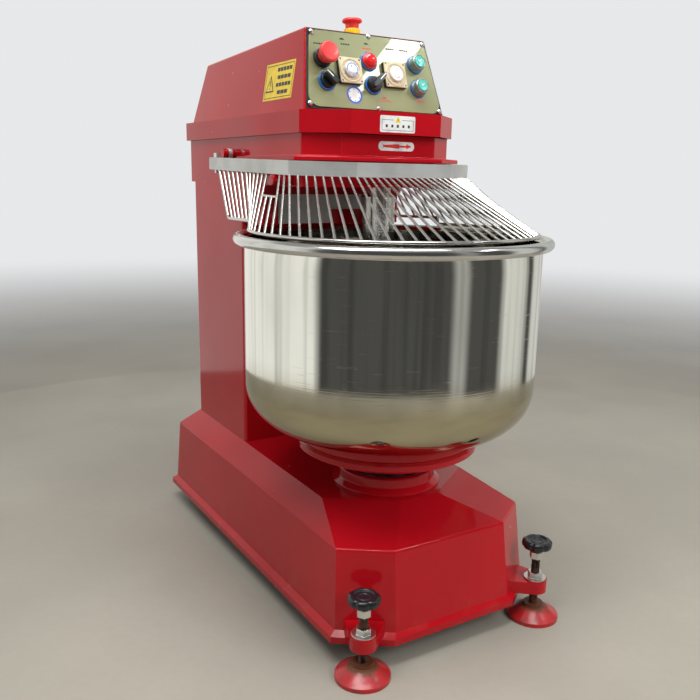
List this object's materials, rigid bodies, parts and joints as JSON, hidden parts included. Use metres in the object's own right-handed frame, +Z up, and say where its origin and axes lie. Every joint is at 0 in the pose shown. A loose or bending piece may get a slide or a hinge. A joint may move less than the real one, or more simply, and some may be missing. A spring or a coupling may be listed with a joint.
{
  "type": "spiral dough mixer",
  "caption": "Free-standing spiral dough mixer: turning steel bowl on a wheeled base, spiral hook and breaker bar under a column head, wire lifting guard, control panel and stop buttons.",
  "frame": {"origin": "on the floor, under the middle of the machine's outline", "axes": "+Z up, the operator stands at -Y, +X is the operator's right"},
  "size_m": [0.5885, 0.9446, 1.1197],
  "materials": {
    "red_enamel": "gloss",
    "steel_plate": "satin",
    "stainless": "polished",
    "brushed_stainless": "brushed",
    "panel_steel": "satin",
    "black_rubber": "matte",
    "black_plastic": "satin",
    "blue_collar": "gloss",
    "bezel_metal": "satin",
    "green_cap": "gloss",
    "red_cap": "gloss",
    "yellow_plastic": "gloss",
    "red_lens": "gloss",
    "beige_plastic": "satin",
    "white_dial": "gloss",
    "zinc": "satin",
    "dark_steel": "worn",
    "cast_grey": "matte",
    "motor_blue": "satin",
    "polyurethane": "matte"
  },
  "bodies": {
    "machine": {"base_housing": "red_enamel", "chassis_plate": "steel_plate", "column_housing": "red_enamel", "rear_cover": "red_enamel", "cover_screws": "zinc", "cable_gland": "black_plastic", "head_housing": "red_enamel", "hood": "red_enamel", "panel_gasket": "black_rubber", "control_panel": "panel_steel", "switch_collars": "blue_collar", "button_bezels": "bezel_metal", "power_lamp": "red_lens", "timer_cases": "beige_plastic", "contact_blocks": "black_plastic", "top_stop_base": "yellow_plastic", "splash_plate": "brushed_stainless", "breaker_bar": "stainless", "spiral_bearing_housing": "red_enamel", "shaft_bearings": "dark_steel", "spiral_belt": "black_rubber", "main_motor": "motor_blue", "bowl_bearing_housing": "cast_grey", "pedestal_collar": "red_enamel", "bowl_belt": "black_rubber", "bowl_motor": "motor_blue", "guard_pins": "red_enamel", "foot_lock_nuts": "zinc", "rear_wheel_forks": "zinc"},
    "bowl": {"bowl": "stainless", "bowl_seat_ring": "red_enamel", "turntable": "red_enamel", "bowl_shaft": "dark_steel", "bowl_pulley": "cast_grey"},
    "bowl_motor_rotor": {"bowl_motor_pulley": "cast_grey"},
    "spiral": {"spiral_hook": "stainless", "spiral_shaft": "dark_steel", "spiral_pulley": "cast_grey"},
    "main_motor_rotor": {"main_motor_pulley": "cast_grey"},
    "guard": {"guard_bar": "brushed_stainless", "guard_rods": "stainless", "guard_ring": "stainless", "guard_hinge_lugs": "brushed_stainless", "guard_lug_bolts": "zinc"},
    "left_foot": {"left_foot_pad": "red_enamel"},
    "right_foot": {"right_foot_pad": "red_enamel"},
    "left_screw": {"left_foot_screw": "dark_steel", "left_foot_knob": "black_plastic"},
    "right_screw": {"right_foot_screw": "dark_steel", "right_foot_knob": "black_plastic"},
    "left_wheel": {"left_rear_wheel": "polyurethane"},
    "right_wheel": {"right_rear_wheel": "polyurethane"},
    "start_button": {"start_button": "green_cap"},
    "halt_button": {"halt_button": "green_cap"},
    "panel_stop": {"panel_stop_button": "red_cap"},
    "top_stop": {"top_stop_button": "red_cap"},
    "selector": {"selector_knob": "black_plastic"},
    "lever": {"lever_switch": "black_plastic"},
    "left_dial": {"left_timer_dial": "white_dial"},
    "right_dial": {"right_timer_dial": "white_dial"}
  },
  "joints": [
    {"name": "bowl_spin", "type": "hinge", "parent": "machine", "child": "bowl", "pos_m": [0, -0.178, 0.3], "axis": [0, 0, 1], "continuous": true},
    {"name": "bowl_motor_spin", "type": "hinge", "parent": "machine", "child": "bowl_motor_rotor", "pos_m": [-0.05, 0.24, 0.13], "axis": [0, 0, 1], "continuous": true},
    {"name": "spiral_spin", "type": "hinge", "parent": "machine", "child": "spiral", "pos_m": [0.062, -0.03, 0.8], "axis": [0, 0, 1], "continuous": true},
    {"name": "main_motor_spin", "type": "hinge", "parent": "machine", "child": "main_motor_rotor", "pos_m": [0, 0.296, 0.86], "axis": [0, 0, 1], "continuous": true},
    {"name": "guard_lift", "type": "hinge", "parent": "machine", "child": "guard", "pos_m": [0, 0.175, 0.864], "axis": [-1, 0, 0], "range_deg": [0, 60]},
    {"name": "left_foot_height", "type": "slide", "parent": "machine", "child": "left_foot", "axis": [0, 0, 1], "range_m": [-0.012, 0.008]},
    {"name": "left_foot_screw_turn", "type": "hinge", "parent": "left_foot", "child": "left_screw", "pos_m": [-0.1934, -0.4111, 0.08], "axis": [0, 0, 1], "continuous": true},
    {"name": "left_wheel_roll", "type": "hinge", "parent": "machine", "child": "left_wheel", "pos_m": [-0.15, 0.372, 0.04], "axis": [1, 0, 0], "continuous": true},
    {"name": "right_foot_height", "type": "slide", "parent": "machine", "child": "right_foot", "axis": [0, 0, 1], "range_m": [-0.012, 0.008]},
    {"name": "right_foot_screw_turn", "type": "hinge", "parent": "right_foot", "child": "right_screw", "pos_m": [0.1934, -0.4111, 0.08], "axis": [0, 0, 1], "continuous": true},
    {"name": "right_wheel_roll", "type": "hinge", "parent": "machine", "child": "right_wheel", "pos_m": [0.15, 0.372, 0.04], "axis": [1, 0, 0], "continuous": true},
    {"name": "start_press", "type": "slide", "parent": "machine", "child": "start_button", "axis": [0, 0.9577, -0.2876], "range_m": [0, 0.003], "stiffness_N_per_m": 900, "springref_m": -0.0005},
    {"name": "halt_press", "type": "slide", "parent": "machine", "child": "halt_button", "axis": [0, 0.9577, -0.2876], "range_m": [0, 0.003], "stiffness_N_per_m": 900, "springref_m": -0.0005},
    {"name": "panel_stop_press", "type": "slide", "parent": "machine", "child": "panel_stop", "axis": [0, 0.9577, -0.2876], "range_m": [0, 0.005]},
    {"name": "top_stop_press", "type": "slide", "parent": "machine", "child": "top_stop", "axis": [0, -0.0402, -0.9992], "range_m": [0, 0.0045]},
    {"name": "selector_turn", "type": "hinge", "parent": "machine", "child": "selector", "pos_m": [-0.103, -0.10644, 0.98889], "axis": [0, -0.9577, 0.2876], "range_deg": [-90, 0]},
    {"name": "lever_turn", "type": "hinge", "parent": "machine", "child": "lever", "pos_m": [-0.005, -0.10673, 0.98793], "axis": [0, -0.9577, 0.2876], "range_deg": [-30, 75]},
    {"name": "left_dial_turn", "type": "hinge", "parent": "machine", "child": "left_dial", "pos_m": [-0.054, -0.1004, 1.009], "axis": [0, -0.9577, 0.2876], "range_deg": [-300, 0]},
    {"name": "right_dial_turn", "type": "hinge", "parent": "machine", "child": "right_dial", "pos_m": [0.044, -0.10055, 1.00852], "axis": [0, -0.9577, 0.2876], "range_deg": [-300, 0]}
  ],
  "couplings": [
    {"joint": "bowl_motor_spin", "follows": "bowl_spin", "ratio": 3.6154},
    {"joint": "main_motor_spin", "follows": "spiral_spin", "ratio": 3.0769},
    {"joint": "left_foot_screw_turn", "follows": "left_foot_height", "rad_per_m": 3141.6},
    {"joint": "right_foot_screw_turn", "follows": "right_foot_height", "rad_per_m": 3141.6}
  ]
}
